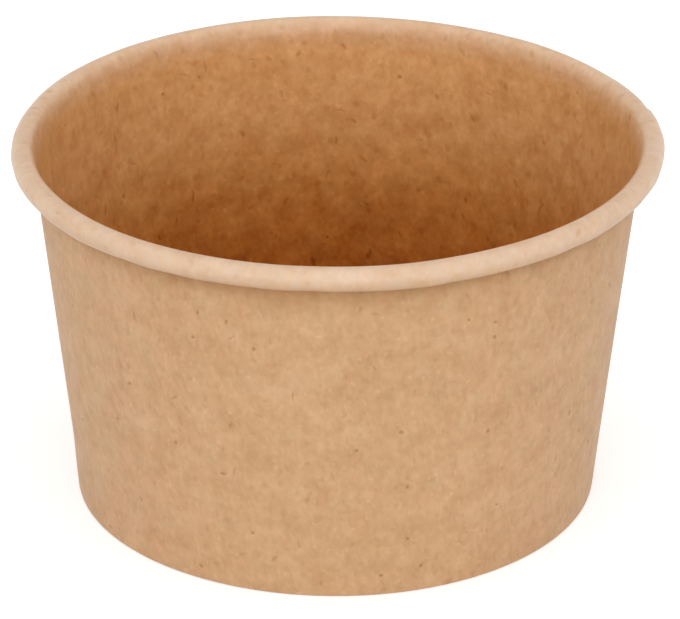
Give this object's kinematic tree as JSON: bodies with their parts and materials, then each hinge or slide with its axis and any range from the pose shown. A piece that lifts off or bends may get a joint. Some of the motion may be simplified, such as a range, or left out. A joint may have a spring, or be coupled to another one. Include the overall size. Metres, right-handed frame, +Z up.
{
  "type": "paper portion cup",
  "caption": "Small shallow round paper portion cup with a rolled rim, a tapered wall lapped at a side seam, and a floor recessed above its hemmed foot.",
  "frame": {"origin": "centre of the foot on the ground, under the middle of the cup", "axes": "+Z up, from the foot to the rolled rim; the side seam is on the +X side, turned 7 degrees towards +Y"},
  "size_m": [0.0753, 0.075, 0.044],
  "materials": {
    "wall_board": "matte",
    "bottom_board": "satin"
  },
  "bodies": {
    "root": {"side_wall": "wall_board", "bottom_disc": "bottom_board"}
  },
  "joints": []
}
